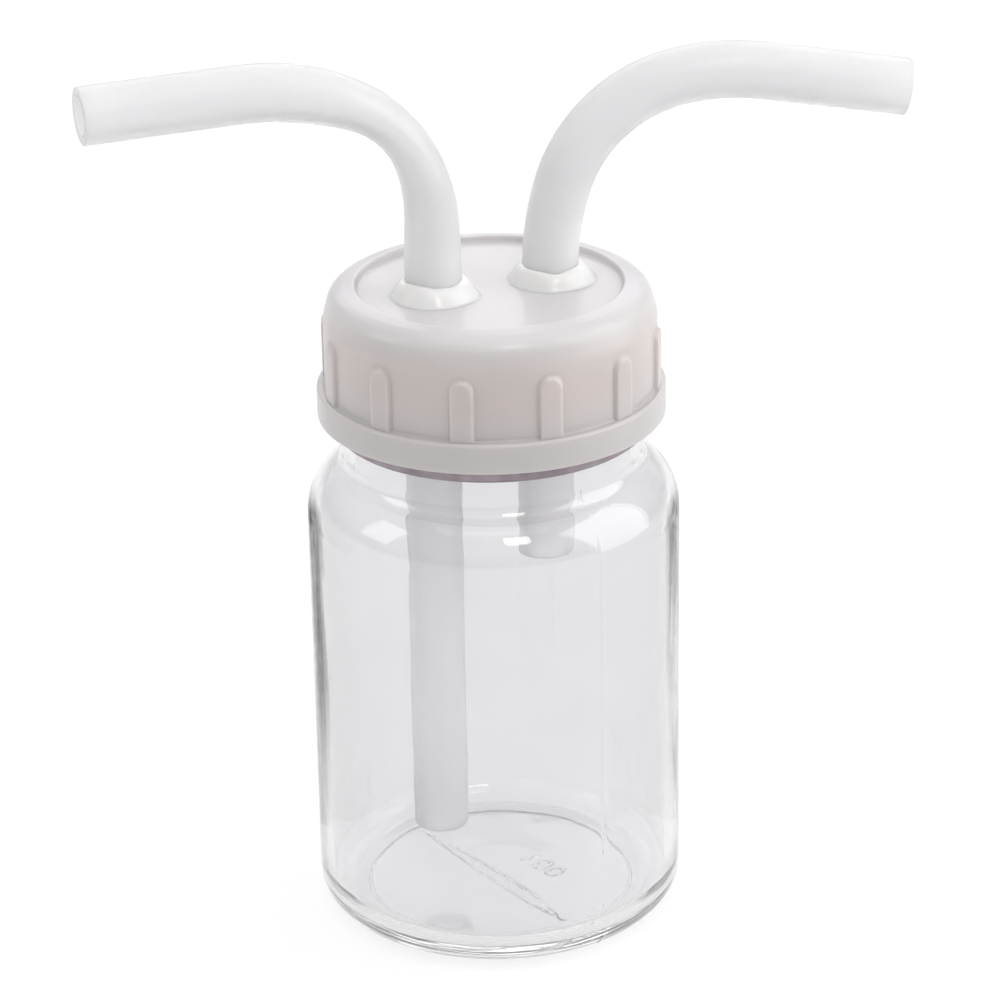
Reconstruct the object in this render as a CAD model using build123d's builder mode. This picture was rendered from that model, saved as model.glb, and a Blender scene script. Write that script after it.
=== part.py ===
# Gas washing bottle, about 100 mL: a clear wide-mouth bottle, a ribbed screw cap on a
# rubber ring gasket, and two silicone tubes glued through the cap.
# Millimetres. +Z is up. The origin is the centre of the ring the bottle stands on.
# +X runs from the hole of the long inlet tube towards the hole of the short outlet tube.

from build123d import *
from math import cos, radians, sin
import os

os.makedirs("parts", exist_ok=True)

# ---------------------------------------------------------------- driving dimensions

# bottle body
body_r = 25.5              # outside radius of the straight wall
wall_t = 1.7               # wall of the straight part and the shoulder
heel_r = 4.4               # rounding from the standing ring into the wall
floor_ring_r = 18.7        # edge of the raised panel under the base
floor_ring_h = 0.7         # how far that panel is raised at its edge
floor_dome_h = 1.2         # how far it is raised at its centre
floor_flat_r = 7.0         # level middle of the panel and of the inside floor
floor_in_z = 2.3           # inside floor at its edge
floor_in_dome_z = 2.9      # inside floor at its centre
floor_in_r = 20.0          # where the inside heel rounding starts
heel_in_r = 3.6            # inside heel rounding
wall_foot_r = 23.6         # inside radius at the foot of the wall
shoulder_r = 8.05          # large convex rounding of the shoulder
shoulder_z = 58.85         # height where the straight wall ends
root_fillet_r = 2.0        # small concave rounding from the shoulder into the neck

# pinch weld across the underside, in the plane of the mould's parting line
weld_angle = -73.0
weld_x = -1.3
weld_y = -1.5
weld_len = 30.0
weld_w = 1.3
weld_z = 0.35

# neck
neck_r = 20.5              # short plain neck under the bead
bead_r = 21.45             # bead just below the skirt of the cap
bead_low_z = 70.85
bead_high_z = 72.75
thread_root_r = 20.2
lip_z = 86.8               # sealing lip
lip_round = 0.5

# thread, single start, right-hand
pitch = 4.0
neck_thread_z = 73.7       # centre of the lower end of the neck's ridge
neck_turns = 2.25
cap_turns = 1.5            # the cap's ridge runs half a pitch above the neck's
neck_crest_r = 21.1
cap_crest_r = 20.5
thread_base_w = 1.7        # where the ridge sinks into the wall
thread_crest_w = 0.8
thread_bite = 0.3          # how far each ridge is sunk into its wall

# gasket ring
gasket_in_r = 16.6
gasket_out_r = 20.9
gasket_low_z = 86.9
gasket_high_z = 88.9
gasket_round = 0.3

# screw cap
cap_low_z = 73.1
cap_in_r = 21.4
cap_wall_r = 22.5
flange_r = 23.65
flange_top_z = 77.3
cap_under_z = 89.0         # underside of the top plate
plate_z = 90.6             # top face of the recessed plate
plate_r = 17.85
rim_in_r = 18.0            # inner edge of the raised rim
rim_in_z = 91.6
corner_r = 3.9             # rounding of the outer corner
corner_z = 87.5            # height of that rounding's centre
corner_sweep = 70.0        # the rounding ends here, and the sloping rim begins
rib_count = 12
rib_phase = 1.0
rib_w = 3.4
rib_r = 23.05
rib_top_z = 85.9

# tubes
tube_r = 3.8
bore_r = 2.5
hole_clear = 0.1
inlet_x = -7.9
outlet_x = 8.7
inlet_low_z = 11.8         # open end of the dip tube
outlet_low_z = 50.6        # open end of the short tube

# inlet tube above the cap: upright, then three blended bends, then level
oval_low_z = 95.0          # the flattening starts a little below the bend
inlet_rise_z = 100.4
inlet_bends = ((24.0, 20.0), (16.6, 45.0), (36.0, 26.0))
inlet_run = 20.7
oval_in_plane = 2.95       # the tube flattens where it is bent
oval_across = 4.4
oval_bore_in_plane = 1.8
oval_bore_across = 3.0
oval_length = 38.0         # length of tube over which it is flattened
oval_steps = 16

# outlet tube above the cap: gentler bends, ending a little below level
outlet_rise_z = 92.4
outlet_bends = ((38.0, 18.0), (21.0, 62.0), (32.0, 19.0))
outlet_run = 19.4
outlet_swing = -14.5       # the outlet's bend plane, turned about its own hole

# adhesive beads on the plate: radius, height and offset of the two mounds of each
bead_fit = 0.02
inlet_mounds = ((6.0, 2.6, -0.1, -0.2), (4.7, 2.1, 1.3, -1.2))
outlet_mounds = ((6.1, 2.6, 0.2, 0.1), (4.8, 2.0, 1.2, -1.0))


def mound_profile(radius, height, top_z):
    """Half outline of one low mound, in radius and height, closed on its axis."""
    crown = tube_r + 0.15
    with BuildLine() as outline:
        Line((0, top_z), (radius, top_z))
        ThreePointArc(
            (radius, top_z),
            (radius - 0.32, top_z + 0.5 * height),
            (radius - 1.25, top_z + 0.74 * height),
        )
        Line((radius - 1.25, top_z + 0.74 * height), (crown, top_z + height))
        Line((crown, top_z + height), (0, top_z + height))
        Line((0, top_z + height), (0, top_z))
    return outline.line


# ---------------------------------------------------------------- bottle

# shoulder: the convex arc and the concave fillet touch on the line of their centres
arc_r0 = body_r - shoulder_r
fillet_c_r = neck_r + root_fillet_r
centre_gap = shoulder_r + root_fillet_r
touch_cos = (fillet_c_r - arc_r0) / centre_gap
touch_sin = (1.0 - touch_cos ** 2) ** 0.5
fillet_c_z = shoulder_z + centre_gap * touch_sin
inner_arc_r = shoulder_r - wall_t
inner_fillet_r = root_fillet_r + wall_t
neck_in_r = fillet_c_r - inner_fillet_r


def arc_point(centre_r, centre_z, radius, angle):
    """Point at an angle, in degrees, on an arc of the bottle's half outline."""
    return (centre_r + radius * cos(radians(angle)), centre_z + radius * sin(radians(angle)))


touch = (arc_r0 + shoulder_r * touch_cos, shoulder_z + shoulder_r * touch_sin)
touch_in = (arc_r0 + inner_arc_r * touch_cos, shoulder_z + inner_arc_r * touch_sin)
fillet_mid = arc_point(fillet_c_r, fillet_c_z, root_fillet_r, 210)
fillet_in_mid = arc_point(fillet_c_r, fillet_c_z, inner_fillet_r, 210)

with BuildPart() as bottle:
    with BuildSketch(Plane.XZ) as bottle_half:
        with BuildLine() as bottle_outline:
            # underside: raised panel, step, standing ring, heel
            Line((0, floor_dome_h), (floor_flat_r, floor_dome_h))
            Line((floor_flat_r, floor_dome_h), (floor_ring_r - 0.3, floor_ring_h))
            Line((floor_ring_r - 0.3, floor_ring_h), (floor_ring_r, 0))
            Line((floor_ring_r, 0), (body_r - heel_r, 0))
            ThreePointArc(
                (body_r - heel_r, 0),
                arc_point(body_r - heel_r, heel_r, heel_r, -45),
                (body_r, heel_r),
            )
            # wall and shoulder
            Line((body_r, heel_r), (body_r, shoulder_z))
            ThreePointArc(
                (body_r, shoulder_z),
                arc_point(arc_r0, shoulder_z, shoulder_r, 30),
                touch,
            )
            ThreePointArc(touch, fillet_mid, (neck_r, fillet_c_z))
            # neck, bead, thread root and lip
            Line((neck_r, fillet_c_z), (neck_r, bead_low_z))
            ThreePointArc(
                (neck_r, bead_low_z),
                (bead_r, 0.5 * (bead_low_z + bead_high_z)),
                (neck_r, bead_high_z),
            )
            Line((neck_r, bead_high_z), (thread_root_r, bead_high_z))
            Line((thread_root_r, bead_high_z), (thread_root_r, lip_z - lip_round))
            ThreePointArc(
                (thread_root_r, lip_z - lip_round),
                arc_point(thread_root_r - lip_round, lip_z - lip_round, lip_round, 45),
                (thread_root_r - lip_round, lip_z),
            )
            Line((thread_root_r - lip_round, lip_z), (neck_in_r + lip_round, lip_z))
            ThreePointArc(
                (neck_in_r + lip_round, lip_z),
                arc_point(neck_in_r + lip_round, lip_z - lip_round, lip_round, 135),
                (neck_in_r, lip_z - lip_round),
            )
            # inside of the neck, shoulder, wall and floor
            Line((neck_in_r, lip_z - lip_round), (neck_in_r, fillet_c_z))
            ThreePointArc((neck_in_r, fillet_c_z), fillet_in_mid, touch_in)
            ThreePointArc(
                touch_in,
                arc_point(arc_r0, shoulder_z, inner_arc_r, 30),
                (body_r - wall_t, shoulder_z),
            )
            Line((body_r - wall_t, shoulder_z), (wall_foot_r, floor_in_z + heel_in_r))
            ThreePointArc(
                (wall_foot_r, floor_in_z + heel_in_r),
                arc_point(floor_in_r, floor_in_z + heel_in_r, heel_in_r, -45),
                (floor_in_r, floor_in_z),
            )
            Line((floor_in_r, floor_in_z), (floor_flat_r, floor_in_dome_z))
            Line((floor_flat_r, floor_in_dome_z), (0, floor_in_dome_z))
            Line((0, floor_in_dome_z), (0, floor_dome_h))
        make_face()
    revolve(axis=Axis.Z)

    # weld ridge under the base
    weld_dir = (cos(radians(weld_angle)), sin(radians(weld_angle)), 0)
    with BuildSketch(Plane((weld_x, weld_y, weld_z), x_dir=weld_dir)) as weld_sketch:
        SlotOverall(weld_len, weld_w)
    extrude(amount=floor_dome_h)

    # outside thread of the neck
    with BuildLine() as neck_helix:
        Helix(
            pitch=pitch,
            height=pitch * neck_turns,
            radius=thread_root_r,
            center=(0, 0, neck_thread_z),
        )
    neck_tangent = neck_helix.line % 0
    with BuildSketch(Plane(neck_helix.line @ 0, x_dir=(1, 0, 0), z_dir=neck_tangent)) as neck_tooth:
        with BuildLine() as neck_tooth_outline:
            Polyline(
                (-thread_bite, -0.5 * thread_base_w),
                (neck_crest_r - thread_root_r, -0.5 * thread_crest_w),
                (neck_crest_r - thread_root_r, 0.5 * thread_crest_w),
                (-thread_bite, 0.5 * thread_base_w),
                close=True,
            )
        make_face()
    sweep(path=neck_helix.line, is_frenet=True)

bottle.part.label = "bottle"
export_step(bottle.part, "parts/bottle.step")

# ---------------------------------------------------------------- gasket

with BuildPart() as seal_gasket:
    with BuildSketch(Plane.XZ) as gasket_half:
        with Locations((0.5 * (gasket_in_r + gasket_out_r), 0.5 * (gasket_low_z + gasket_high_z))):
            RectangleRounded(
                gasket_out_r - gasket_in_r,
                gasket_high_z - gasket_low_z,
                gasket_round,
            )
    revolve(axis=Axis.Z)

seal_gasket.part.label = "seal_gasket"
export_step(seal_gasket.part, "parts/seal_gasket.step")

# ---------------------------------------------------------------- screw cap

corner_c_r = cap_wall_r - corner_r

with BuildPart() as screw_cap:
    with BuildSketch(Plane.XZ) as cap_half:
        with BuildLine() as cap_outline:
            # recessed plate and raised rim
            Line((0, plate_z), (plate_r, plate_z))
            Line((plate_r, plate_z), (rim_in_r, rim_in_z - 0.15))
            Line((rim_in_r, rim_in_z - 0.15), (rim_in_r + 0.2, rim_in_z))
            Line((rim_in_r + 0.2, rim_in_z), arc_point(corner_c_r, corner_z, corner_r, corner_sweep))
            # rounded corner, wall and flange
            ThreePointArc(
                arc_point(corner_c_r, corner_z, corner_r, corner_sweep),
                arc_point(corner_c_r, corner_z, corner_r, 0.5 * corner_sweep),
                (cap_wall_r, corner_z),
            )
            Line((cap_wall_r, corner_z), (cap_wall_r, flange_top_z + 0.6))
            ThreePointArc(
                (cap_wall_r, flange_top_z + 0.6),
                (cap_wall_r + 0.12, flange_top_z + 0.18),
                (cap_wall_r + 0.45, flange_top_z),
            )
            ThreePointArc(
                (cap_wall_r + 0.45, flange_top_z),
                (flange_r - 0.16, flange_top_z - 0.35),
                (flange_r, flange_top_z - 0.95),
            )
            Line((flange_r, flange_top_z - 0.95), (flange_r, cap_low_z + 0.3))
            Line((flange_r, cap_low_z + 0.3), (flange_r - 0.3, cap_low_z))
            # underside of the skirt, inside wall and underside of the plate
            Line((flange_r - 0.3, cap_low_z), (cap_in_r + 0.3, cap_low_z))
            Line((cap_in_r + 0.3, cap_low_z), (cap_in_r, cap_low_z + 0.3))
            Line((cap_in_r, cap_low_z + 0.3), (cap_in_r, cap_under_z - 0.4))
            Line((cap_in_r, cap_under_z - 0.4), (cap_in_r - 0.4, cap_under_z))
            Line((cap_in_r - 0.4, cap_under_z), (0, cap_under_z))
            Line((0, cap_under_z), (0, plate_z))
        make_face()
    revolve(axis=Axis.Z)

    # thumb ribs round the wall, rounded at the top
    for index in range(rib_count):
        angle = rib_phase + index * 360.0 / rib_count
        out_dir = (cos(radians(angle)), sin(radians(angle)), 0)
        along = (-sin(radians(angle)), cos(radians(angle)), 0)
        start = (21.9 * out_dir[0], 21.9 * out_dir[1], 0)
        with BuildSketch(Plane(start, x_dir=along, z_dir=out_dir)) as rib_face:
            with Locations((0, 0.5 * (flange_top_z - 1.2 + rib_top_z))):
                SlotOverall(rib_top_z - flange_top_z + 1.2, rib_w, rotation=90)
        extrude(amount=rib_r - 21.9)

    # holes for the two tubes
    with BuildSketch(Plane.XY.offset(cap_under_z - 1)) as tube_holes:
        with Locations((inlet_x, 0), (outlet_x, 0)):
            Circle(tube_r + hole_clear)
    extrude(amount=plate_z - cap_under_z + 2, mode=Mode.SUBTRACT)

    # inside thread
    with BuildLine() as cap_helix:
        Helix(
            pitch=pitch,
            height=pitch * cap_turns,
            radius=cap_in_r,
            center=(0, 0, neck_thread_z + 0.5 * pitch),
        )
    cap_tangent = cap_helix.line % 0
    with BuildSketch(Plane(cap_helix.line @ 0, x_dir=(1, 0, 0), z_dir=cap_tangent)) as cap_tooth:
        with BuildLine() as cap_tooth_outline:
            Polyline(
                (thread_bite, -0.5 * thread_base_w),
                (cap_crest_r - cap_in_r, -0.5 * thread_crest_w),
                (cap_crest_r - cap_in_r, 0.5 * thread_crest_w),
                (thread_bite, 0.5 * thread_base_w),
                close=True,
            )
        make_face()
    sweep(path=cap_helix.line, is_frenet=True)

screw_cap.part.label = "screw_cap"
export_step(screw_cap.part, "parts/screw_cap.step")

# ---------------------------------------------------------------- inlet tube

# bend path in the X-Z plane, leaving the upright leg towards -X
with BuildLine(Plane((inlet_x, 0, oval_low_z), x_dir=(-1, 0, 0), z_dir=(0, 1, 0))) as inlet_path:
    tip = (0, inlet_rise_z - oval_low_z)
    heading = 90.0
    Line((0, 0), tip)
    for bend_r, bend_angle in inlet_bends:
        bend = JernArc(
            start=tip,
            tangent=(cos(radians(heading)), sin(radians(heading))),
            radius=bend_r,
            arc_size=-bend_angle,
        )
        centre = (tip[0] + bend_r * sin(radians(heading)), tip[1] - bend_r * cos(radians(heading)))
        heading = heading - bend_angle
        tip = (centre[0] - bend_r * sin(radians(heading)), centre[1] + bend_r * cos(radians(heading)))

inlet_wire = inlet_path.wires()[0]
inlet_end = inlet_wire @ 1
inlet_end_dir = inlet_wire % 1


def oval_radii(share, round_r, across, in_plane):
    """Half-axes of the tube's section at a share of the bend's length."""
    reach = min(1.0, share * inlet_wire.length / oval_length)
    flat = sin(radians(180.0 * reach)) ** 2
    return (round_r + flat * (across - round_r), round_r + flat * (in_plane - round_r))


with BuildPart() as inlet_tube:
    # upright leg
    with BuildSketch(Plane((inlet_x, 0, inlet_low_z))) as inlet_leg:
        Circle(tube_r)
    extrude(amount=oval_low_z - inlet_low_z)
    # flattened bend
    for step in range(oval_steps + 1):
        share = step / oval_steps
        section = Plane(inlet_wire @ share, x_dir=(0, 1, 0), z_dir=inlet_wire % share)
        with BuildSketch(section) as oval:
            Ellipse(*oval_radii(share, tube_r, oval_across, oval_in_plane))
    loft()
    # level run to the open end
    with BuildSketch(Plane(inlet_end, x_dir=(0, 1, 0), z_dir=inlet_end_dir)) as inlet_level:
        Circle(tube_r)
    extrude(amount=inlet_run)
    # bore through all three
    with BuildSketch(Plane((inlet_x, 0, inlet_low_z))) as inlet_leg_bore:
        Circle(bore_r)
    extrude(amount=oval_low_z - inlet_low_z, mode=Mode.SUBTRACT)
    for step in range(oval_steps + 1):
        share = step / oval_steps
        section = Plane(inlet_wire @ share, x_dir=(0, 1, 0), z_dir=inlet_wire % share)
        with BuildSketch(section) as oval_bore:
            Ellipse(*oval_radii(share, bore_r, oval_bore_across, oval_bore_in_plane))
    loft(mode=Mode.SUBTRACT)
    with BuildSketch(Plane(inlet_end, x_dir=(0, 1, 0), z_dir=inlet_end_dir)) as inlet_level_bore:
        Circle(bore_r)
    extrude(amount=inlet_run, mode=Mode.SUBTRACT)

inlet_tube.part.label = "inlet_tube"
export_step(inlet_tube.part, "parts/inlet_tube.step")

# ---------------------------------------------------------------- outlet tube

swing = (cos(radians(outlet_swing)), sin(radians(outlet_swing)), 0)
swing_normal = (sin(radians(outlet_swing)), -cos(radians(outlet_swing)), 0)

with BuildPart() as outlet_tube:
    with BuildLine(Plane((outlet_x, 0, outlet_low_z), x_dir=swing, z_dir=swing_normal)) as outlet_path:
        tip = (0, outlet_rise_z - outlet_low_z)
        heading = 90.0
        Line((0, 0), tip)
        for bend_r, bend_angle in outlet_bends:
            bend = JernArc(
                start=tip,
                tangent=(cos(radians(heading)), sin(radians(heading))),
                radius=bend_r,
                arc_size=-bend_angle,
            )
            centre = (tip[0] + bend_r * sin(radians(heading)), tip[1] - bend_r * cos(radians(heading)))
            heading = heading - bend_angle
            tip = (centre[0] - bend_r * sin(radians(heading)), centre[1] + bend_r * cos(radians(heading)))
        Line(
            tip,
            (
                tip[0] + outlet_run * cos(radians(heading)),
                tip[1] + outlet_run * sin(radians(heading)),
            ),
        )
    with BuildSketch(Plane((outlet_x, 0, outlet_low_z))) as outlet_ring:
        Circle(tube_r)
        Circle(bore_r, mode=Mode.SUBTRACT)
    sweep(path=outlet_path.wires()[0])

outlet_tube.part.label = "outlet_tube"
export_step(outlet_tube.part, "parts/outlet_tube.step")

# ---------------------------------------------------------------- adhesive beads

with BuildPart() as inlet_adhesive:
    for radius, height, dx, dy in inlet_mounds:
        with BuildSketch(Plane((inlet_x + dx, dy, 0), x_dir=(1, 0, 0), z_dir=(0, -1, 0))) as mound:
            add(mound_profile(radius, height, plate_z))
            make_face()
        revolve(axis=Axis((inlet_x + dx, dy, 0), (0, 0, 1)))
    with BuildSketch(Plane((inlet_x, 0, plate_z - 1))) as inlet_gap:
        Circle(tube_r + bead_fit)
    extrude(amount=6, mode=Mode.SUBTRACT)

inlet_adhesive.part.label = "inlet_adhesive"
export_step(inlet_adhesive.part, "parts/inlet_adhesive.step")

with BuildPart() as outlet_adhesive:
    for radius, height, dx, dy in outlet_mounds:
        with BuildSketch(Plane((outlet_x + dx, dy, 0), x_dir=(1, 0, 0), z_dir=(0, -1, 0))) as mound:
            add(mound_profile(radius, height, plate_z))
            make_face()
        revolve(axis=Axis((outlet_x + dx, dy, 0), (0, 0, 1)))
    with BuildSketch(Plane((outlet_x, 0, plate_z - 1))) as outlet_gap:
        Circle(tube_r + bead_fit)
    extrude(amount=6, mode=Mode.SUBTRACT)

outlet_adhesive.part.label = "outlet_adhesive"
export_step(outlet_adhesive.part, "parts/outlet_adhesive.step")

for piece in (bottle, seal_gasket, screw_cap, inlet_tube, outlet_tube, inlet_adhesive, outlet_adhesive):
    box = piece.part.bounding_box()
    print(piece.part.label, len(piece.part.solids()), round(piece.part.volume, 1), box.min, box.max)
print("inlet end", inlet_end + inlet_end_dir * inlet_run, inlet_end_dir)
print("outlet end", outlet_path.wires()[0] @ 1, outlet_path.wires()[0] % 1)
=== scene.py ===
from math import acos, ceil, cos, degrees, exp, hypot, pi, radians, sin, sqrt, tan

import bmesh
import bpy
from mathutils import Matrix, Vector, noise


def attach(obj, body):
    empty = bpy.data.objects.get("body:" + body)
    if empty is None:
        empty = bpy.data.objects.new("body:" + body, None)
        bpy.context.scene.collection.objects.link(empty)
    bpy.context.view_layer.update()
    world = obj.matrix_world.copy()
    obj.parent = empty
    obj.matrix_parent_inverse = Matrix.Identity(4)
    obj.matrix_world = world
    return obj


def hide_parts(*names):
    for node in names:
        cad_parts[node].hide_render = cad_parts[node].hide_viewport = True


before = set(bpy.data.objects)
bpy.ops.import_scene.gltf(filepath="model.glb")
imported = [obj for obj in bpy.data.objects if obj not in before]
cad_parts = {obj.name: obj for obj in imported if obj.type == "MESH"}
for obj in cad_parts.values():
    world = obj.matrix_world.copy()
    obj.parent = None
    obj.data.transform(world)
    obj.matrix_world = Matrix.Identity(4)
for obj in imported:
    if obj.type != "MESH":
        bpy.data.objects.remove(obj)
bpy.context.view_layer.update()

MM = 0.001
TINY = 1e-6
SHARP_DEG = 38.0
THREAD_PITCH, THREAD_DEPTH = 4.0, 0.9
# half the height of a thread ridge, the height of its flank, and its run-out in turns
THREAD_HALF, THREAD_FLANK, THREAD_RUN_OUT = 0.80, 0.42, 0.04


# ---------------------------------------------------------------- mesh helpers
def add_object(name, data):
    """Object in the scene that shows a mesh, light or camera."""
    obj = bpy.data.objects.new(name, data)
    bpy.context.scene.collection.objects.link(obj)
    return obj


def shade_smooth(mesh, crease=SHARP_DEG):
    """Smooth shading, except at edges sharper than crease degrees."""
    for poly in mesh.polygons:
        poly.use_smooth = True
    mesh.validate()
    mesh.set_sharp_from_angle(angle=radians(crease))


def new_object(name, verts, faces, crease=SHARP_DEG, uvs=None):
    """Mesh object from millimetre vertices. uvs has one entry for each vertex."""
    mesh = bpy.data.meshes.new(name)
    mesh.from_pydata([(x * MM, y * MM, z * MM) for x, y, z in verts], [], faces)
    if uvs is not None:
        layer = mesh.uv_layers.new(name="run")
        for loop in mesh.loops:
            layer.data[loop.index].uv = uvs[loop.vertex_index]
    shade_smooth(mesh, crease)
    return add_object(name, mesh)


def face_outward(mesh):
    """Turn the faces of a closed mesh so that their normals point out."""
    bm = bmesh.new()
    bm.from_mesh(mesh)
    bmesh.ops.recalc_face_normals(bm, faces=bm.faces)
    bm.to_mesh(mesh)
    bm.free()


def pairs_round(items):
    """Each item with the next one, and the last with the first."""
    return list(zip(items, items[1:] + items[:1]))


def band(a, b):
    """Faces between two rings with the same number of corners."""
    return [(p, q, s, r) for (p, q), (r, s) in zip(pairs_round(a), pairs_round(b))]


def turned(count):
    """Evenly spaced angles round a full turn."""
    return [2 * pi * k / count for k in range(count)]


def rounded(corners, turn):
    """Points along a polyline of (r, z, corner radius, tag, step), with its corners rounded.

    A stretch takes the tag and the largest step of the corner that it leads to. turn is the most
    that a rounded corner bends from one point to the next, in degrees."""
    points = [(corners[0][0], corners[0][1], corners[0][3])]
    for index in range(1, len(corners)):
        r, z, radius, tag, step = corners[index]
        here = Vector((r, z))
        before = Vector(corners[index - 1][:2])
        into = (here - before).normalized()
        arc = []
        if radius > 0 and index + 1 < len(corners):
            out = (Vector(corners[index + 1][:2]) - here).normalized()
            angle = acos(max(-1.0, min(1.0, into.dot(out))))
            cut = radius * tan(0.5 * angle)
            start = here - into * cut
            side = 1.0 if into.x * out.y - into.y * out.x > 0 else -1.0
            normal = Vector((-into.y, into.x)) * side
            centre = start + normal * radius
            count = max(2, ceil(degrees(angle) / turn))
            for k in range(count + 1):
                a = angle * k / count
                arc.append(centre - normal * radius * cos(a) + into * radius * sin(a))
        else:
            arc.append(here)
        last = Vector(points[-1][:2])
        length = (arc[0] - last).length
        parts = max(1, ceil(length / step))
        for k in range(1, parts):
            p = last.lerp(arc[0], k / parts)
            points.append((p.x, p.y, tag))
        if length < TINY:
            arc = arc[1:]
        points.extend((p.x, p.y, tag) for p in arc)
    return points


def lathe(outline, angles, shape=None, closed=False):
    """Vertices, faces and rings turned from an outline of (r, z, tag).

    shape(tag, r, z, angle) moves a point. closed joins the last ring to the first."""
    verts, rings = [], []
    for r, z, tag in outline:
        if r < TINY:
            rings.append([len(verts)])
            verts.append((0.0, 0.0, z))
            continue
        ring = []
        for angle in angles:
            rr, zz = shape(tag, r, z, angle) if shape else (r, z)
            ring.append(len(verts))
            verts.append((rr * cos(angle), rr * sin(angle), zz))
        rings.append(ring)
    faces = []
    for a, b in zip(rings, rings[1:] + (rings[:1] if closed else [])):
        if len(a) == 1:
            faces += [(a[0], q, p) for p, q in pairs_round(b)]
        elif len(b) == 1:
            faces += [(p, q, b[0]) for p, q in pairs_round(a)]
        else:
            faces += band(a, b)
    return verts, faces, rings


def smooth(x):
    """Soft step from 0 to 1 as x goes from 0 to 1."""
    x = max(0.0, min(1.0, x))
    return x * x * (3.0 - 2.0 * x)


def wave(x, y, z, seed):
    """Smooth repeatable noise, about -1 to 1."""
    return noise.noise(Vector((x + seed, y - seed, z + 2.0 * seed)))


def ridge(z, angle, low_z, turns):
    """Height, 0 to 1, of a helical thread ridge at a height and angle."""
    turn = (angle % (2 * pi)) / (2 * pi)
    best = 0.0
    for k in range(ceil(turns) + 1):
        at = turn + k
        if at > turns:
            continue
        off = abs(z - (low_z + THREAD_PITCH * at))
        fade = min(1.0, at / THREAD_RUN_OUT, (turns - at) / THREAD_RUN_OUT)
        best = max(best, smooth((THREAD_HALF - off) / THREAD_FLANK) * smooth(fade))
    return best


# ---------------------------------------------------------------- camera
# fitted to the outline of the object in the photo
CAMERA_AT = (-156.93, -455.75, 267.86)
CAMERA_AIM = (2.305, 3.903, 57.482)
CAMERA_ROLL = 1.006  # degrees
CAMERA_LENS, CAMERA_SENSOR = 137.8, 36.0
CAMERA_CLIP = (0.01, 50.0)  # metres

cam_data = bpy.data.cameras.new("camera")
cam_data.lens = CAMERA_LENS
cam_data.sensor_width = CAMERA_SENSOR
cam_data.clip_start, cam_data.clip_end = CAMERA_CLIP
camera = add_object("camera", cam_data)
look = (Vector(CAMERA_AIM) - Vector(CAMERA_AT)).to_track_quat("-Z", "Y").to_matrix()
look = look @ Matrix.Rotation(radians(-CAMERA_ROLL), 3, "Z")
camera.matrix_world = Matrix.Translation(Vector(CAMERA_AT) * MM) @ look.to_4x4()
bpy.context.scene.camera = camera

# ---------------------------------------------------------------- materials
MIX_SHARE, MIX_A, MIX_B, MIX_COLOUR = 0, 6, 7, 2  # sockets of a Mix node set to colours
SATIN = (0.32, 0.46)  # roughness


def grey(value):
    return (value, value, value)


def node(tree, kind, **values):
    """Node with sockets or settings given by name."""
    made = tree.nodes.new(kind)
    for key, value in values.items():
        if key in made.inputs:
            made.inputs[key].default_value = value
        else:
            setattr(made, key, value)
    return made


def feed(tree, value, socket):
    """Give a socket a plain value, or a link if the value is another socket."""
    if isinstance(value, bpy.types.NodeSocket):
        tree.links.new(value, socket)
    else:
        socket.default_value = value


def dress(tree, made, values):
    for key, value in values.items():
        feed(tree, value, made.inputs[key])


def blank_material(name):
    mat = bpy.data.materials.new(name)
    mat.use_nodes = True
    mat.node_tree.nodes.clear()
    return mat, mat.node_tree, node(mat.node_tree, "ShaderNodeOutputMaterial")


def material(name):
    mat, tree, out = blank_material(name)
    shader = node(tree, "ShaderNodeBsdfPrincipled")
    tree.links.new(shader.outputs[0], out.inputs[0])
    return mat, tree, shader


def noise_value(tree, scale, detail, stretch=(1.0, 1.0, 1.0), coord="Object"):
    """Noise from 0 to 1. scale is features per millimetre, or per unit of UV."""
    unit = 1.0 if coord == "UV" else 1.0 / MM
    where = node(tree, "ShaderNodeTexCoord")
    mapping = node(tree, "ShaderNodeMapping", Scale=[unit * share for share in stretch])
    tree.links.new(where.outputs[coord], mapping.inputs["Vector"])
    tex = node(tree, "ShaderNodeTexNoise", Scale=scale, Detail=detail)
    tree.links.new(mapping.outputs[0], tex.inputs["Vector"])
    return tex.outputs["Fac"]


def split_xyz(tree, source):
    split = node(tree, "ShaderNodeSeparateXYZ")
    tree.links.new(source, split.inputs[0])
    return split.outputs


def ramp(tree, source, stops):
    """Colour from stops of (value, colour), blended between them."""
    made = node(tree, "ShaderNodeValToRGB")
    made.color_ramp.elements[0].position = stops[0][0]
    made.color_ramp.elements[0].color = (*stops[0][1], 1.0)
    made.color_ramp.elements[1].position = stops[-1][0]
    made.color_ramp.elements[1].color = (*stops[-1][1], 1.0)
    for at, colour in stops[1:-1]:
        made.color_ramp.elements.new(at).color = (*colour, 1.0)
    tree.links.new(source, made.inputs[0])
    return made.outputs[0]


def grey_ramp(tree, source, stops):
    """Value from stops of (value in, value out)."""
    return ramp(tree, source, [(at, grey(value)) for at, value in stops])


def spread(tree, source, low, high, start=0.0, stop=1.0):
    """Value that goes from low to high as the source goes from start to stop."""
    made = node(tree, "ShaderNodeMapRange")
    limits = {"From Min": start, "From Max": stop, "To Min": low, "To Max": high}
    dress(tree, made, {"Value": source, **limits})
    return made.outputs[0]


def height_share(tree, low, high):
    """Share of the way up from one height to another."""
    where = node(tree, "ShaderNodeTexCoord")
    z = split_xyz(tree, where.outputs["Object"])["Z"]
    return spread(tree, z, 0.0, 1.0, low * MM, high * MM)


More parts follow.
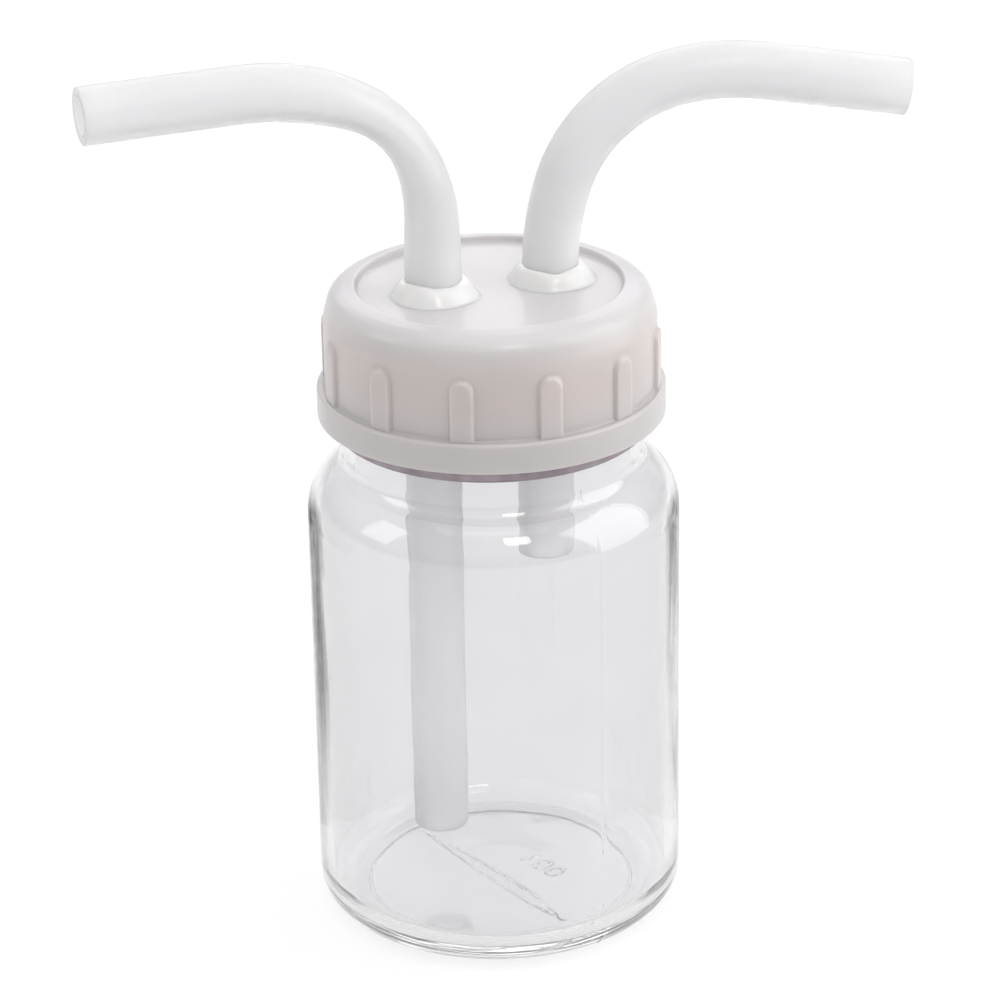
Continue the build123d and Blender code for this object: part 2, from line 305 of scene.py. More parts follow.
def mixed(tree, share, first, second, blend="MIX"):
    mix = node(tree, "ShaderNodeMix", data_type="RGBA", blend_type=blend)
    feed(tree, share, mix.inputs[MIX_SHARE])
    tree.links.new(first, mix.inputs[MIX_A])
    tree.links.new(second, mix.inputs[MIX_B])
    return mix.outputs[MIX_COLOUR]


def bump(tree, source, strength, distance):
    made = node(tree, "ShaderNodeBump", Strength=strength, Distance=distance * MM)
    tree.links.new(source, made.inputs["Height"])
    return made.outputs[0]


def clear_plastic():
    mat, tree, shader = material("clear_plastic")
    cloud = noise_value(tree, 0.05, 2.0)
    scuff = noise_value(tree, 0.6, 4.0)
    swirl = noise_value(tree, 0.16, 2.0, stretch=(1.0, 1.0, 0.35))
    tints = ((0.3, (0.838, 0.832, 0.842)), (0.7, (0.86, 0.855, 0.865)))
    dress(
        tree,
        shader,
        {
            "Base Color": ramp(tree, cloud, tints),
            "Roughness": spread(tree, scuff, 0.0, 0.05),
            "Normal": bump(tree, swirl, 0.12, 0.25),
            "Transmission Weight": 0.97,
            "IOR": 1.57,
        },
    )
    return mat


def neck_bead_painted_shade():
    """The neck bead, tinted a dark purplish brown: painted shade for the dark gasket and the
    shadowed cap skirt seen through the neck.
    """
    mat, tree, shader = material("neck_bead_painted_shade")
    cloud = noise_value(tree, 0.35, 3.0)
    scuff = noise_value(tree, 0.9, 3.0)
    # dark tints: painted shade
    tints = ((0.3, (0.20, 0.15, 0.175)), (0.7, (0.31, 0.25, 0.285)))
    dress(
        tree,
        shader,
        {
            "Base Color": ramp(tree, cloud, tints),
            "Roughness": spread(tree, scuff, 0.02, 0.12),
            "Transmission Weight": 0.3,
            "IOR": 1.57,
        },
    )
    return mat


def cap_plastic():
    """Translucent plastic with its colour painted by height: a warm, darker band up the wall is
    painted shade for the gasket and the neck behind it, the wall darkens towards the flange, and
    the top is painted lightest, where the light falls.
    """
    mat, tree, shader = material("cap_plastic")
    # painted light and shade by height, from the flange up to the top
    body = ramp(
        tree,
        height_share(tree, 73.0, 92.0),
        (
            (0.0, (0.495, 0.475, 0.475)),
            (0.22, (0.50, 0.478, 0.472)),
            (0.50, (0.54, 0.485, 0.468)),
            (0.74, (0.555, 0.505, 0.49)),
            (0.88, (0.585, 0.565, 0.562)),
            (1.0, (0.575, 0.562, 0.582)),
        ),
    )
    cloud = grey_ramp(tree, noise_value(tree, 0.12, 3.0), ((0.3, 0.96), (0.7, 1.0)))
    grain = noise_value(tree, 1.1, 2.0)
    dress(
        tree,
        shader,
        {
            "Base Color": mixed(tree, 1.0, body, cloud, blend="MULTIPLY"),
            "Roughness": spread(tree, grain, *SATIN),
            "Normal": bump(tree, grain, 0.1, 0.05),
            "Subsurface Weight": 0.6,
            "Subsurface Radius": (1.0, 0.85, 0.8),
            "Subsurface Scale": 2.0 * MM,
            "IOR": 1.49,
            "Coat Weight": 0.35,
            "Coat Roughness": 0.12,
        },
    )
    return mat


def tube_silicone():
    """Milky silicone whose colour and clearness are painted by height to stand in for light and
    shade: lighter and clearer inside the bottle and away from the cap than just above the glue.
    """
    mat, tree, shader = material("tube_silicone")
    height = height_share(tree, 85.0, 110.0)
    # painted light and shade by height: lighter inside the bottle, darker at the foot just above
    # the glue
    inside, foot, outside = (0.972, 0.967, 0.975), (0.91, 0.905, 0.908), (0.952, 0.947, 0.955)
    body = ramp(tree, height, ((0.0, inside), (0.2, foot), (0.44, foot), (0.84, outside)))
    clearness = grey_ramp(tree, height, ((0.0, 0.7), (0.2, 0.25), (0.44, 0.25), (0.84, 0.6)))
    cloud = noise_value(tree, 0.09, 3.0)
    tint = grey_ramp(tree, cloud, ((0.3, 0.985), (0.7, 1.0)))
    lines = noise_value(tree, 6.0, 3.0, stretch=(6.0, 0.02, 1.0), coord="UV")
    dress(
        tree,
        shader,
        {
            "Base Color": mixed(tree, 1.0, body, tint, blend="MULTIPLY"),
            "Roughness": spread(tree, cloud, *SATIN),
            "Normal": bump(tree, lines, 0.08, 0.08),
            "Transmission Weight": clearness,
            "Subsurface Weight": 0.6,
            "Subsurface Radius": (1.0, 1.0, 1.05),
            "Subsurface Scale": 1.2 * MM,
            "IOR": 1.41,
            "Coat Weight": 0.25,
            "Coat Roughness": 0.16,
        },
    )
    return mat


def adhesive():
    mat, tree, shader = material("adhesive")
    cloud = noise_value(tree, 0.28, 3.0)
    lumps = noise_value(tree, 0.45, 1.0)
    tints = ((0.35, (0.82, 0.815, 0.785)), (0.5, (0.84, 0.83, 0.815)), (0.65, (0.85, 0.84, 0.85)))
    dress(
        tree,
        shader,
        {
            "Base Color": ramp(tree, cloud, tints),
            "Roughness": spread(tree, lumps, *SATIN),
            "Normal": bump(tree, lumps, 0.12, 0.25),
            "Transmission Weight": 0.1,
            "Subsurface Weight": 0.5,
            "Subsurface Radius": (1.0, 1.0, 0.95),
            "Subsurface Scale": 0.7 * MM,
            "IOR": 1.45,
            "Coat Weight": 0.5,
            "Coat Roughness": 0.1,
        },
    )
    return mat


def gasket_rubber():
    mat, tree, shader = material("gasket_rubber")
    cloud = noise_value(tree, 0.7, 4.0)
    grain = noise_value(tree, 4.0, 4.0)
    tints = ((0.3, (0.16, 0.065, 0.06)), (0.7, (0.24, 0.10, 0.09)))
    dress(
        tree,
        shader,
        {
            "Base Color": ramp(tree, cloud, tints),
            "Roughness": spread(tree, grain, 0.5, 0.75),
            "Normal": bump(tree, grain, 0.3, 0.08),
        },
    )
    return mat


# ---------------------------------------------------------------- bottle
BODY_R = 25.5
SEAM_A, SEAM_B = radians(-75.0), radians(105.0)
WELD_FROM, WELD_TO = (-6.6, 15.7), (3.4, -16.6)
# the number starts TEXT_START along a line from TEXT_FROM, which runs at TEXT_DIR degrees
TEXT_FROM, TEXT_DIR, TEXT_START = (4.9, 2.2), -67.0, 0.7
DIGIT_H, DIGIT_W, DIGIT_STEP = 2.7, 1.8, 2.6
# the neck bead is what lies beyond this radius, between these heights
BEAD_R, BEAD_LOW, BEAD_TOP = 20.9, 70.95, 72.7
STROKE, STROKE_EDGE = 0.24, 0.2
WELD_LIFT, NUMBER_LIFT = 0.24, 0.2
SEAM_LIFT, SEAM_WIDTH = 0.035, 0.24
WALL_WAVE, INNER_WAVE, FLOOR_WAVE = 0.02, 0.03, 0.05
BOTTLE_THREAD_Z, BOTTLE_THREAD_TURNS = 73.7, 2.25
BOTTLE_SIDES = 252
# extra columns of vertices beside each seam
SEAM_COLUMNS_DEG = (-1.1, -0.8, -0.54, -0.27, 0.0, 0.27, 0.54, 0.8, 1.1)


def digit_zero(u, v):
    q = hypot(u / (0.5 * DIGIT_W), v / (0.5 * DIGIT_H))
    return abs(q - 1.0) * 0.5 * DIGIT_W


def digit_one(u, v):
    stem = hypot(u - 0.1, max(0.0, abs(v) - 0.5 * DIGIT_H))
    t = max(0.0, min(1.0, ((0.1 - u) * 0.6 + (0.5 * DIGIT_H - v) * 0.5) / 0.61))
    flag = hypot(u - (0.1 - 0.6 * t), v - (0.5 * DIGIT_H - 0.5 * t))
    return min(stem, flag)


def number_mark(x, y):
    """Height, 0 to 1, of the moulded number under the base. It reads from below."""
    d = radians(TEXT_DIR)
    px, py = x - TEXT_FROM[0], y - TEXT_FROM[1]
    u = px * cos(d) + py * sin(d)
    v = px * sin(d) - py * cos(d)
    if not (-1.5 < u < 8.5 and -2.5 < v < 2.5):  # well clear of the digits
        return 0.0
    near = min(
        digit_one(u - TEXT_START, v),
        digit_zero(u - TEXT_START - DIGIT_STEP, v),
        digit_zero(u - TEXT_START - 2 * DIGIT_STEP, v),
    )
    return smooth((STROKE - near) / STROKE_EDGE + 0.5)


def weld_mark(x, y):
    """Height, 0 to 1, of the pinch weld ridge: a thin fin that widens, then ends short."""
    ax, ay = WELD_FROM
    dx, dy = WELD_TO[0] - ax, WELD_TO[1] - ay
    length = hypot(dx, dy)
    along = ((x - ax) * dx + (y - ay) * dy) / length
    across = ((x - ax) * dy - (y - ay) * dx) / length
    t = along / length
    if not -0.05 < t < 1.05:
        return 0.0
    half = 0.28 + 0.95 * smooth(t / 0.55) * smooth((1.0 - t) / 0.3)
    across += 0.12 * wave(0.35 * along, 0.0, 0.0, 3.0) + 0.25 * smooth((t - 0.3) / 0.4)
    end = smooth((min(along, length - along) + 0.4) / 0.6)
    edge = smooth((half - abs(across)) / 0.34 + 0.5)
    crown = 0.55 + 0.45 * smooth((abs(across) / half - 0.35) / 0.5)
    return edge * crown * end


def seam_height(angle):
    """Mould parting line: a hair-thin ridge up both sides of the wall."""
    best = 0.0
    for at in (SEAM_A, SEAM_B):
        off = abs((angle - at + pi) % (2 * pi) - pi) * BODY_R
        best = max(best, exp(-((off / SEAM_WIDTH) ** 2)))
    return best


def bottle_shape(tag, r, z, angle):
    """Marks, seams, thread and slight unevenness of the blown bottle."""
    x, y = r * cos(angle), r * sin(angle)
    if tag == "under":
        lift = WELD_LIFT * weld_mark(x, y) + NUMBER_LIFT * number_mark(x, y)
        edge = smooth((18.0 - r) / 0.6)
        return r, max(0.05, z - lift * edge)
    if tag == "wall":
        sway = min(0.0, WALL_WAVE * wave(0.12 * x, 0.12 * y, 0.06 * z, 7.0)) * smooth(z / 4.0)
        pip = 1.0 + 3.0 * exp(-(((z - 1.2) / 0.8) ** 2))
        return r + sway + SEAM_LIFT * seam_height(angle) * pip * smooth(z), z
    if tag == "thread":
        return r + THREAD_DEPTH * ridge(z, angle, BOTTLE_THREAD_Z, BOTTLE_THREAD_TURNS), z
    if tag == "inner":
        sway = wave(0.10 * x, 0.10 * y, 0.045 * z, 11.0)
        sway += 0.5 * wave(0.25 * x, 0.25 * y, 0.1 * z, 17.0)
        fade = smooth((z - 6.0) / 8.0) * smooth((66.0 - z) / 6.0)
        return r + INNER_WAVE * sway * fade, z
    if tag == "floor":
        sway = wave(0.16 * x, 0.16 * y, 0.0, 23.0)
        return r, z + FLOOR_WAVE * sway * smooth((19.0 - r) / 5.0)
    return r, z


bottle_outline = rounded(
    (
        (0.0, 1.2, 0, "under", 1.0),
        (7.0, 1.2, 3.0, "under", 0.2),
        (18.4, 0.72, 0.12, "under", 0.2),
        (18.7, 0.0, 0.15, "ring", 0.2),
        (BODY_R, 0.0, 4.4, "wall", 1.0),
        (BODY_R, 63.482, 8.05, "wall", 2.2),
        (20.5, 66.388, 2.0, "wall", 1.0),
        (20.5, 70.85, 0.25, "neck", 1.0),
        (21.10, 71.0, 0.3, "neck", 0.4),
        (21.43, 71.35, 0.35, "neck", 0.4),
        (21.43, 72.25, 0.35, "neck", 0.4),
        (21.10, 72.6, 0.3, "neck", 0.4),
        (20.2, 72.75, 0.12, "neck", 0.4),
        (20.2, 86.8, 0.5, "thread", 0.24),
        (18.8, 86.8, 0.5, "lip", 0.5),
        (18.8, 65.410, 3.7, "neck_in", 1.5),
        (23.8, 62.504, 6.35, "inner", 1.0),
        (23.6, 2.3, 3.6, "inner", 2.2),
        (7.0, 2.9, 6.0, "floor", 1.2),
        (0.0, 2.9, 0, "floor", 1.2),
    ),
    turn=7.5,
)
bottle_angles = turned(BOTTLE_SIDES)
for seam in (SEAM_A, SEAM_B):
    bottle_angles += [(seam + radians(off)) % (2 * pi) for off in SEAM_COLUMNS_DEG]
bottle_angles = sorted(set(round(a, 6) for a in bottle_angles))
verts, faces, rings = lathe(bottle_outline, bottle_angles, bottle_shape)
bottle = new_object("bottle_shell", verts, faces)
bottle.data.materials.append(clear_plastic())
bottle.data.materials.append(neck_bead_painted_shade())
# the faces of the neck bead take the painted shade material
for poly in bottle.data.polygons:
    corners = [verts[k] for k in faces[poly.index]]
    if all(hypot(x, y) > BEAD_R and BEAD_LOW < z < BEAD_TOP for x, y, z in corners):
        poly.material_index = 1
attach(bottle, "bottle_body")
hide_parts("bottle")
bottle.visible_shadow = False

# ---------------------------------------------------------------- screw cap
CAP_WALL_R, RIB_R, RIB_TOP_Z, RIB_W = 22.5, 23.05, 85.9, 3.4
RIB_COUNT, RIB_PHASE = 12, radians(1.0)
INLET_X, OUTLET_X = -7.9, 8.7
TUBE_R, BORE_R, HOLE_R, HOLE_SIDES = 3.8, 2.5, 3.9, 72
PLATE_Z, UNDER_Z = 90.6, 89.0
CAP_THREAD_Z, CAP_THREAD_TURNS = 75.7, 1.5
# columns of vertices beside each rib, as shares of its half width
RIB_COLUMNS = (0.0, 0.3, 0.55, 0.78, 0.86, 0.92, 0.98, 1.04, 1.1, 1.3, 1.7, 2.2, 2.8)


def rib_height(z, angle):
    """Height, 0 to 1, of the thumb ribs, with soft sides and a round top."""
    pitch = 2 * pi / RIB_COUNT
    off = ((angle - RIB_PHASE + 0.5 * pitch) % pitch - 0.5 * pitch) * CAP_WALL_R
    top = RIB_TOP_Z - 0.5 * RIB_W
    reach = abs(off) if z < top else hypot(off, z - top)
    return smooth((0.5 * RIB_W - reach) / 0.36 + 0.15)


def cap_shape(tag, r, z, angle):
    if tag == "wall":
        return r + max(0.0, RIB_R - r) * rib_height(z, angle), z
    if tag == "thread":
        return r - THREAD_DEPTH * ridge(z, angle, CAP_THREAD_Z, CAP_THREAD_TURNS), z
    return r, z


cap_outline = rounded(
    (
        (16.0, PLATE_Z, 0, "top", 1.0),
        (17.8, PLATE_Z, 0.45, "top", 0.6),
        (18.15, 91.55, 0.3, "top", 0.3),
        (19.93, 91.165, 0.5, "top", 0.4),
        (21.6, 90.35, 2.6, "top", 0.4),
        (CAP_WALL_R, 87.0, 2.6, "top", 0.4),
        (CAP_WALL_R, 77.3, 0.45, "wall", 0.3),
        (23.65, 77.3, 0.5, "flange", 0.3),
        (23.65, 73.1, 0.3, "flange", 0.8),
        (21.4, 73.1, 0.3, "flange", 0.8),
        (21.4, UNDER_Z, 0.4, "thread", 0.3),
        (16.0, UNDER_Z, 0, "flange", 1.0),
    ),
    turn=9.0,
)
cap_angles = []
half = 0.5 * RIB_W / CAP_WALL_R
for step in turned(RIB_COUNT):
    centre = RIB_PHASE + step
    for share in RIB_COLUMNS:
        for side in (-1, 1):
            cap_angles.append((centre + side * share * half) % (2 * pi))
    cap_angles.append((centre + pi / RIB_COUNT) % (2 * pi))
cap_angles = sorted(set(round(a, 6) for a in cap_angles))


def cap_mesh():
    """Turned shell, then the plate inside r 16 with its two tube holes, top and underside."""
    verts, faces, rings = lathe(cap_outline, cap_angles, cap_shape)
    bm = bmesh.new()
    made = [bm.verts.new((x * MM, y * MM, z * MM)) for x, y, z in verts]
    for face in faces:
        bm.faces.new([made[k] for k in face])
    loops = {}
    for z, ring in ((PLATE_Z, rings[0]), (UNDER_Z, rings[-1])):
        outer = [made[k] for k in ring]
        edges = [bm.edges.get(pair) for pair in pairs_round(outer)]
        for x in (INLET_X, OUTLET_X):
            spots = [(x + HOLE_R * cos(a), HOLE_R * sin(a), z) for a in turned(HOLE_SIDES)]
            hole = [bm.verts.new((px * MM, py * MM, pz * MM)) for px, py, pz in spots]
            loops[(x, z)] = hole
            edges += [bm.edges.new(pair) for pair in pairs_round(hole)]
        bmesh.ops.triangle_fill(bm, use_beauty=True, edges=edges)
    for x in (INLET_X, OUTLET_X):
        for corners in band(loops[(x, PLATE_Z)], loops[(x, UNDER_Z)]):
            bm.faces.new(corners)
    bmesh.ops.recalc_face_normals(bm, faces=bm.faces)
    mesh = bpy.data.meshes.new("cap_shell")
    bm.to_mesh(mesh)
    bm.free()
    shade_smooth(mesh)
    return add_object("cap_shell", mesh)


cap = cap_mesh()
cap.data.materials.append(cap_plastic())
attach(cap, "cap_body")
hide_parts("screw_cap")

# ---------------------------------------------------------------- gasket
GASKET_SIDES = 160
gasket_outline = rounded(
    (
        (18.0, 86.9, 0, "rubber", 1.0),
        (20.9, 86.9, 0.35, "rubber", 0.6),
        (20.9, 88.9, 0.35, "rubber", 0.6),
        (16.6, 88.9, 0.35, "rubber", 0.6),
        (16.6, 86.9, 0.35, "rubber", 0.6),
        (17.9, 86.9, 0, "rubber", 1.0),
    ),
    turn=15.0,
)
verts, faces, rings = lathe(gasket_outline, turned(GASKET_SIDES), closed=True)
gasket = new_object("gasket_ring", verts, faces)
gasket.data.materials.append(gasket_rubber())
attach(gasket, "gasket_body")
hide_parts("seal_gasket")


# ---------------------------------------------------------------- tubes
# below this height the tubes drift towards the camera's left
LEAN_FROM, LEAN_LENGTH, LEAN_WAY = 88.0, 34.0, (-0.945, 0.327)
UPRIGHT_STEP, BEND_STEP_DEG, RUN_STEP = 2.5, 3.0, 2.0
TUBE_SIDES = 56
# an end is rounded over END_ROUND, and the rings of the path keep END_CLEAR from it
END_ROUND, END_CLEAR = 0.16, 0.8
END_STATIONS = (0.0, 0.05, END_ROUND)
INLET_LOW_Z = 11.8
# where along the inlet tube its bend is oval, and the half-axes there, across and in the bend
OVAL_FROM, OVAL_LENGTH = 95.0 - INLET_LOW_Z, 38.0
OVAL_OUTSIDE, OVAL_BORE = (4.4, 2.95), (3.0, 1.8)
OUTLET_SWING = radians(-14.5)


def bent_path(foot, swing, low_z, rise_z, bends, run, sag):
    """Centre line as (place, direction, distance), upright and then bent over to one side.

    bends are (radius, sweep in degrees), and run is the straight length after them. Below the
    cap the tube drifts off the upright by sag."""
    side = Vector((cos(swing), sin(swing), 0.0))
    up = Vector((0.0, 0.0, 1.0))
    base = Vector((foot, 0.0, 0.0))
    rows = []
    steps = ceil((rise_z - low_z) / UPRIGHT_STEP)
    for k in range(steps + 1):
        z = low_z + (rise_z - low_z) * k / steps
        rows.append((base + up * z, up.copy(), z - low_z))
    heading = 0.5 * pi
    at = base + up * rise_z
    gone = rise_z - low_z
    for radius, sweep in bends:
        centre = at + (side * sin(heading) - up * cos(heading)) * radius
        count = ceil(sweep / BEND_STEP_DEG)
        for k in range(1, count + 1):
            a = heading - radians(sweep) * k / count
            spot = centre - (side * sin(a) - up * cos(a)) * radius
            distance = gone + radius * radians(sweep) * k / count
            rows.append((spot, side * cos(a) + up * sin(a), distance))
        heading -= radians(sweep)
        gone += radius * radians(sweep)
        at = rows[-1][0]
    direction = side * cos(heading) + up * sin(heading)
    steps = ceil(run / RUN_STEP)
    for k in range(1, steps + 1):
        rows.append((at + direction * run * k / steps, direction.copy(), gone + run * k / steps))
    for place, _, _ in rows:
        lean = sag * smooth((LEAN_FROM - place.z) / LEAN_LENGTH)
        place.x += LEAN_WAY[0] * lean
        place.y += LEAN_WAY[1] * lean
    return rows


def tube(name, rows, across, section):
    """Hollow tube along rows. section(distance) gives the half-axes outside and of the bore."""
    total = rows[-1][2]
    first, first_way, _ = rows[0]
    last, last_way, _ = rows[-1]
    stations = [(first + first_way * d, first_way, d) for d in END_STATIONS]
    stations += [row for row in rows if END_CLEAR < row[2] < total - END_CLEAR]
    stations += [(last - last_way * d, last_way, total - d) for d in reversed(END_STATIONS)]
    verts, uvs = [], []

    def ring(station, inner):
        place, direction, s = station
        (oa, ob), (ia, ib) = section(s)
        near = min(s, total - s)
        trim = END_ROUND - sqrt(END_ROUND**2 - (END_ROUND - min(END_ROUND, near)) ** 2)
        a, b = (ia + 0.6 * trim, ib + 0.6 * trim) if inner else (oa - trim, ob - trim)
        in_plane = direction.cross(across).normalized()
        for k, angle in enumerate(turned(TUBE_SIDES)):
            spot = place + across * a * cos(angle) + in_plane * b * sin(angle)
            verts.append((spot.x, spot.y, spot.z))
            uvs.append((k / TUBE_SIDES, s))
        return list(range(len(verts) - TUBE_SIDES, len(verts)))

    outer = [ring(s, False) for s in stations]
    inner = [ring(s, True) for s in stations]
    faces = [face for a, b in pairs_round(outer + inner[::-1]) for face in band(a, b)]
    obj = new_object(name, verts, faces, crease=50.0, uvs=uvs)
    face_outward(obj.data)
    return obj


def inlet_section(s):
    """Half-axes of the inlet tube, which the bend flattens."""
    reach = (s - OVAL_FROM) / OVAL_LENGTH
    flat = sin(pi * reach) ** 2 if 0.0 < reach < 1.0 else 0.0
    outside = [TUBE_R + flat * (axis - TUBE_R) for axis in OVAL_OUTSIDE]
    bore = [BORE_R + flat * (axis - BORE_R) for axis in OVAL_BORE]
    return outside, bore


def round_section(s):
    return (TUBE_R, TUBE_R), (BORE_R, BORE_R)


silicone = tube_silicone()
inlet_rows = bent_path(
    foot=INLET_X,
    swing=pi,
    low_z=INLET_LOW_Z,
    rise_z=100.4,
    bends=((24.0, 20.0), (16.6, 45.0), (36.0, 26.0)),
    run=20.7,
    sag=0.6,
)
inlet = tube("inlet_hose", inlet_rows, Vector((0.0, 1.0, 0.0)), inlet_section)
outlet_rows = bent_path(
    foot=OUTLET_X,
    swing=OUTLET_SWING,
    low_z=50.6,
    rise_z=92.4,
    bends=((38.0, 18.0), (21.0, 62.0), (32.0, 19.0)),
    run=19.4,
    sag=1.0,
)
outlet_across = Vector((-sin(OUTLET_SWING), cos(OUTLET_SWING), 0.0))
outlet = tube("outlet_hose", outlet_rows, outlet_across, round_section)
for hose, cad in ((inlet, "inlet_tube"), (outlet, "outlet_tube")):
    hose.data.materials.append(silicone)
    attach(hose, "cap_body")
    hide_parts(cad)


# ---------------------------------------------------------------- adhesive
GLUE_SIDES, GLUE_STEPS = 112, 16
# powers that space the rings outward and let the height fall to the edge
GLUE_SPREAD, GLUE_FALL = 0.9, 1.7
GLUE_R, GLUE_H = TUBE_R + 0.01, 2.6
GLUE_BASE_Z = PLATE_Z - 0.01


def glue_bead(name, foot, height, mounds, seed):
    """Irregular bead of adhesive round a tube, laid by hand: lobed edge, lumpy top, a crevice.

    mounds are (radius, x, y) of the round patches that make up its outline, from the tube."""

    def reach(angle):
        best = 0.0
        for radius, dx, dy in mounds:
            along = dx * cos(angle) + dy * sin(angle)
            off = dx * sin(angle) - dy * cos(angle)
            best = max(best, along + sqrt(max(0.0, radius * radius - off * off)))
        lobes = 0.16 * wave(1.1 * cos(angle), 1.1 * sin(angle), 0.0, seed)
        return best - 0.08 + lobes + 0.03 * sin(7 * angle + seed)

    verts = []
    for step in range(GLUE_STEPS + 1):
        t = step / GLUE_STEPS
        for angle in turned(GLUE_SIDES):
            r = GLUE_R + (reach(angle) - GLUE_R) * t**GLUE_SPREAD
            x, y = foot + r * cos(angle), r * sin(angle)
            uneven = wave(0.9 * cos(angle), 0.9 * sin(angle), 0.3, seed + 5.0)
            high = height * (0.88 + 0.09 * uneven)
            crown = (1.0 - t**2) ** GLUE_FALL
            lump = 1.0 + 0.10 * wave(0.55 * x, 0.55 * y, 0.0, seed + 9.0)
            front = (angle + radians(97.0) + pi) % (2 * pi) - pi
            crevice = exp(-((front / 0.55) ** 2)) * exp(-(((r - GLUE_R) / 0.55) ** 2))
            lift = high * crown * lump * (1.0 - 0.1 * crevice)
            verts.append((x, y, GLUE_BASE_Z + max(0.0, lift)))
    for angle in turned(GLUE_SIDES):
        verts.append((foot + GLUE_R * cos(angle), GLUE_R * sin(angle), GLUE_BASE_Z))
    starts = range(0, len(verts), GLUE_SIDES)
    rings = [list(range(start, start + GLUE_SIDES)) for start in starts]
    faces = [face for a, b in pairs_round(rings[-1:] + rings[:-1]) for face in band(a, b)]
    obj = new_object(name, verts, faces, crease=60.0)
    face_outward(obj.data)
    return obj


glue = adhesive()
for name, cad, foot, mounds, seed in (
    ("inlet_glue", "inlet_adhesive", INLET_X, ((6.0, -0.1, -0.2), (4.7, 1.3, -1.2)), 31.0),
    ("outlet_glue", "outlet_adhesive", OUTLET_X, ((6.1, 0.2, 0.1), (4.8, 1.2, -1.0)), 47.0),
):
    bead = glue_bead(name, foot, GLUE_H, mounds, seed)
    bead.data.materials.append(glue)
    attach(bead, "cap_body")
    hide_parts(cad)

# ---------------------------------------------------------------- floor, world and lights
FLOOR_R, FLOOR_SIDES = 4.0, 96  # radius in metres
# the floor's glow dips under the bottle as a painted shadow, deepest within the first distance and
# gone beyond the second
FLOOR_PAINTED_SHADOW, FLOOR_BRIGHT = (16.0, 0.53), (26.0, 0.67)  # distance from the axis, glow
WORLD_STRENGTH = 0.87
CAMERA_TURN = radians(-19.0)
BEHIND = (0.327, 0.945, 0.0)  # straight away from the camera
LIGHT_AIM = Vector((0.0, 0.0, 60.0)) * MM
# radius and height, size, and watts of each light inside the bottle
INNER_AT, INNER_SIZE, INNER_POWER = (18.2, 50.0), (8.0 * MM, 60.0 * MM), 0.0016
INNER_COUNT = 8


def pale_floor():
    """Pale floor that glows evenly, with a painted shadow under the bottle, where it glows a little
    less.
    """
    mat, tree, shader = material("pale_floor")
    cloud = noise_value(tree, 0.02, 2.0)
    where = node(tree, "ShaderNodeTexCoord")
    reach = node(tree, "ShaderNodeVectorMath", operation="LENGTH")
    tree.links.new(where.outputs["Object"], reach.inputs[0])
    (near, shadow_glow), (far, bright) = FLOOR_PAINTED_SHADOW, FLOOR_BRIGHT
    dress(
        tree,
        shader,
        {
            "Base Color": grey_ramp(tree, cloud, ((0.3, 0.27), (0.7, 0.29))),
            "Emission Color": (1.0, 1.0, 1.0, 1.0),
            # painted shadow: the glow falls off towards the axis
            "Emission Strength": spread(
                tree, reach.outputs["Value"], shadow_glow, bright, near * MM, far * MM
            ),
            "Roughness": 0.8,
            "Specular IOR Level": 0.1,
        },
    )
    return mat


bm = bmesh.new()
bmesh.ops.create_circle(bm, cap_ends=True, radius=FLOOR_R, segments=FLOOR_SIDES)
floor_mesh = bpy.data.meshes.new("floor")
bm.to_mesh(floor_mesh)
bm.free()
floor_obj = add_object("floor", floor_mesh)
floor_obj.data.materials.append(pale_floor())


def studio_world():
    """Pale room, white overhead and behind the object, and greyer low down on the camera's side."""
    world = bpy.data.worlds.new("studio")
    world.use_nodes = True
    tree = world.node_tree
    tree.nodes.clear()
    out = node(tree, "ShaderNodeOutputWorld")
    light = node(tree, "ShaderNodeBackground", Strength=WORLD_STRENGTH)
    tree.links.new(light.outputs[0], out.inputs[0])
    way = node(tree, "ShaderNodeTexCoord").outputs["Generated"]
    up = split_xyz(tree, way)["Z"]
    front = ramp(
        tree,
        up,
        (
            (0.0, (0.42, 0.42, 0.43)),
            (0.12, (0.50, 0.50, 0.51)),
            (0.45, (0.85, 0.85, 0.86)),
            (1.0, grey(1.0)),
        ),
    )
    back = ramp(
        tree, up, ((0.0, (0.86, 0.86, 0.87)), (0.4, (0.95, 0.95, 0.96)), (1.0, grey(1.0)))
    )
    along = node(tree, "ShaderNodeVectorMath", operation="DOT_PRODUCT")
    tree.links.new(way, along.inputs[0])
    along.inputs[1].default_value = BEHIND
    share = spread(tree, along.outputs["Value"], 0.0, 1.0, -0.1, 0.6)
    tree.links.new(mixed(tree, share, front, back), light.inputs["Color"])
    return world


bpy.context.scene.world = studio_world()


def area_light(name, place, way, size, power):
    """Rectangular light that the camera can't see. Place and size are in metres."""
    data = bpy.data.lights.new(name, "AREA")
    data.shape = "RECTANGLE"
    data.size, data.size_y = size
    data.energy = power
    obj = add_object(name, data)
    turn = way.to_track_quat("-Z", "Y").to_matrix().to_4x4()
    obj.matrix_world = Matrix.Translation(place) @ turn
    obj.visible_camera = False
    return obj


def soft_light(name, azimuth, elevation, distance, size, power):
    """Light aimed at the object. Azimuth is from the camera's side, to its right. Distance and
    size are in metres, and power in watts."""
    turn, rise = CAMERA_TURN + radians(azimuth), radians(elevation)
    out = Vector((sin(turn) * cos(rise), -cos(turn) * cos(rise), sin(rise)))
    place = LIGHT_AIM + out * distance
    area_light(name, place, LIGHT_AIM - place, size, power)


def inner_light(name, turn):
    """Weak panel inside the bottle, facing the axis. It stands in for the light that the clear
    wall gathers on the tubes, which the renderer does not carry."""
    r, z = INNER_AT
    place = Vector((r * cos(turn), r * sin(turn), z)) * MM
    inward = Vector((-cos(turn), -sin(turn), 0.0))
    obj = area_light(name, place, inward, INNER_SIZE, INNER_POWER)
    obj.visible_glossy = False
    obj.visible_transmission = False


